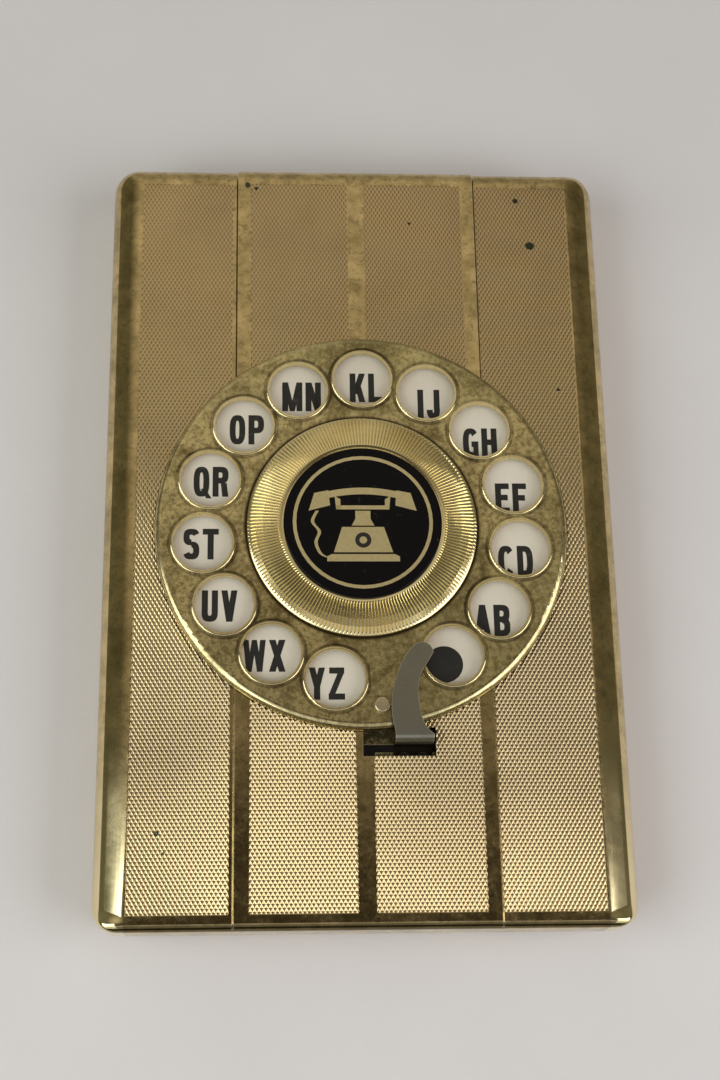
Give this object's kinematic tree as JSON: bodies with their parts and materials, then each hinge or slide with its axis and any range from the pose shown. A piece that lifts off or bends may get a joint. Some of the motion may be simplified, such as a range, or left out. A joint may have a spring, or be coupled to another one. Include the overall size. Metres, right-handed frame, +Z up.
{
  "type": "pop up telephone index",
  "caption": "Flat metal desk telephone index with a lettered finger dial on its spring lid, a finger stop that frees the latch, and stepped leaves that a hook lifts.",
  "frame": {"origin": "centre of the felt face that the index rests on", "axes": "+Z up, +Y towards the rear hinge, +X to the right of someone facing the letters"},
  "size_m": [0.11, 0.1714, 0.0229],
  "materials": {
    "lid_brass": "engine-turned, lacquered and tarnished",
    "tray_brass": "satin",
    "dial_brass": "tarnished, mottled",
    "bright_brass": "polished, reeded",
    "plain_brass": "turned",
    "dark_plate": "blackened sheet",
    "nickel": "dull nickel, scratched",
    "plain_steel": "zinc plated",
    "spring_steel": "drawn wire",
    "black_enamel": "gloss",
    "white_card": "coated card",
    "leaf_card": "smooth card",
    "liner_card": "pressed card",
    "felt": "felt"
  },
  "bodies": {
    "base": {"base_felt": "felt", "base_tray": "tray_brass", "tray_liner": "liner_card", "note_card": "leaf_card", "bracket_rivets": "plain_steel", "hinge_rod": "plain_steel", "rod_clips": "plain_steel", "hinge_bracket_left": "plain_steel", "hinge_bracket_right": "plain_steel", "popup_spring_left": "spring_steel", "popup_spring_right": "spring_steel", "latch_keeper": "plain_steel", "keeper_rivets": "plain_steel"},
    "lid": {"lid_shell": "lid_brass", "mechanism_plate": "dark_plate", "plate_posts": "plain_steel", "plate_screws": "plain_steel", "spindle_bush": "plain_brass", "letter_card": "white_card", "return_spring": "spring_steel", "spring_anchor": "plain_steel", "selector_studs": "plain_steel", "latch_studs": "plain_steel", "latch_spring": "spring_steel", "latch_spring_post": "plain_steel"},
    "dial": {"dial_plate": "dial_brass", "stop_pin": "nickel", "hub_cap": "bright_brass", "emblem_disc": "black_enamel", "spindle": "plain_steel", "dial_nut": "plain_brass", "scroll_cam": "plain_brass", "cam_washer": "plain_steel", "spindle_clip": "spring_steel"},
    "selector": {"selector_slide": "plain_steel", "selector_hook": "plain_steel", "hook_rivets": "plain_steel", "follower_pin": "plain_steel"},
    "latch": {"latch_slide": "plain_brass", "finger_stop": "nickel", "stop_rivets": "plain_steel"},
    "leaf_ab": {"leaf_ab": "leaf_card"},
    "leaf_cd": {"leaf_cd": "leaf_card"},
    "leaf_ef": {"leaf_ef": "leaf_card"},
    "leaf_gh": {"leaf_gh": "leaf_card"},
    "leaf_ij": {"leaf_ij": "leaf_card"},
    "leaf_kl": {"leaf_kl": "leaf_card"},
    "leaf_mn": {"leaf_mn": "leaf_card"},
    "leaf_op": {"leaf_op": "leaf_card"},
    "leaf_qr": {"leaf_qr": "leaf_card"},
    "leaf_st": {"leaf_st": "leaf_card"},
    "leaf_uv": {"leaf_uv": "leaf_card"},
    "leaf_wx": {"leaf_wx": "leaf_card"},
    "leaf_yz": {"leaf_yz": "leaf_card"}
  },
  "joints": [
    {"name": "lid_hinge", "type": "hinge", "parent": "base", "child": "lid", "pos_m": [0, 0.08145, 0.0135], "axis": [-1, 0, 0], "range_deg": [0, 100]},
    {"name": "dial_spin", "type": "hinge", "parent": "lid", "child": "dial", "pos_m": [0, -0.0022, 0.0203], "axis": [0, 0, -1], "range_deg": [0, 345], "stiffness_Nm_per_rad": 0.002, "springref_deg": -28.65},
    {"name": "selector_travel", "type": "slide", "parent": "lid", "child": "selector", "axis": [0, 1, 0], "range_m": [0, 0.0283]},
    {"name": "finger_stop_push", "type": "slide", "parent": "lid", "child": "latch", "axis": [-1, 0, 0], "range_m": [0, 0.005], "stiffness_N_per_m": 120, "springref_m": -0.004},
    {"name": "leaf_ab_turn", "type": "hinge", "parent": "base", "child": "leaf_ab", "pos_m": [0, 0.08145, 0.0135], "axis": [-1, 0, 0], "range_deg": [0, 90.01]},
    {"name": "leaf_cd_turn", "type": "hinge", "parent": "base", "child": "leaf_cd", "pos_m": [0, 0.08145, 0.0135], "axis": [-1, 0, 0], "range_deg": [0, 85.01]},
    {"name": "leaf_ef_turn", "type": "hinge", "parent": "base", "child": "leaf_ef", "pos_m": [0, 0.08145, 0.0135], "axis": [-1, 0, 0], "range_deg": [0, 80.01]},
    {"name": "leaf_gh_turn", "type": "hinge", "parent": "base", "child": "leaf_gh", "pos_m": [0, 0.08145, 0.0135], "axis": [-1, 0, 0], "range_deg": [0, 75.01]},
    {"name": "leaf_ij_turn", "type": "hinge", "parent": "base", "child": "leaf_ij", "pos_m": [0, 0.08145, 0.0135], "axis": [-1, 0, 0], "range_deg": [0, 70.01]},
    {"name": "leaf_kl_turn", "type": "hinge", "parent": "base", "child": "leaf_kl", "pos_m": [0, 0.08145, 0.0135], "axis": [-1, 0, 0], "range_deg": [0, 65.01]},
    {"name": "leaf_mn_turn", "type": "hinge", "parent": "base", "child": "leaf_mn", "pos_m": [0, 0.08145, 0.0135], "axis": [-1, 0, 0], "range_deg": [0, 60.01]},
    {"name": "leaf_op_turn", "type": "hinge", "parent": "base", "child": "leaf_op", "pos_m": [0, 0.08145, 0.0135], "axis": [-1, 0, 0], "range_deg": [0, 55.01]},
    {"name": "leaf_qr_turn", "type": "hinge", "parent": "base", "child": "leaf_qr", "pos_m": [0, 0.08145, 0.0135], "axis": [-1, 0, 0], "range_deg": [0, 50.01]},
    {"name": "leaf_st_turn", "type": "hinge", "parent": "base", "child": "leaf_st", "pos_m": [0, 0.08145, 0.0135], "axis": [-1, 0, 0], "range_deg": [0, 45.01]},
    {"name": "leaf_uv_turn", "type": "hinge", "parent": "base", "child": "leaf_uv", "pos_m": [0, 0.08145, 0.0135], "axis": [-1, 0, 0], "range_deg": [0, 40.01]},
    {"name": "leaf_wx_turn", "type": "hinge", "parent": "base", "child": "leaf_wx", "pos_m": [0, 0.08145, 0.0135], "axis": [-1, 0, 0], "range_deg": [0, 35.01]},
    {"name": "leaf_yz_turn", "type": "hinge", "parent": "base", "child": "leaf_yz", "pos_m": [0, 0.08145, 0.0135], "axis": [-1, 0, 0], "range_deg": [0, 30.01]}
  ],
  "couplings": [
    {"joint": "selector_travel", "follows": "dial_spin", "m_per_rad": 0.0047002},
    {"joint": "leaf_ab_turn", "follows": "lid_hinge", "ratio": 0.9},
    {"joint": "leaf_cd_turn", "follows": "lid_hinge", "ratio": 0.85},
    {"joint": "leaf_ef_turn", "follows": "lid_hinge", "ratio": 0.8},
    {"joint": "leaf_gh_turn", "follows": "lid_hinge", "ratio": 0.75},
    {"joint": "leaf_ij_turn", "follows": "lid_hinge", "ratio": 0.7},
    {"joint": "leaf_kl_turn", "follows": "lid_hinge", "ratio": 0.65},
    {"joint": "leaf_mn_turn", "follows": "lid_hinge", "ratio": 0.6},
    {"joint": "leaf_op_turn", "follows": "lid_hinge", "ratio": 0.55},
    {"joint": "leaf_qr_turn", "follows": "lid_hinge", "ratio": 0.5},
    {"joint": "leaf_st_turn", "follows": "lid_hinge", "ratio": 0.45},
    {"joint": "leaf_uv_turn", "follows": "lid_hinge", "ratio": 0.4},
    {"joint": "leaf_wx_turn", "follows": "lid_hinge", "ratio": 0.35},
    {"joint": "leaf_yz_turn", "follows": "lid_hinge", "ratio": 0.3}
  ]
}
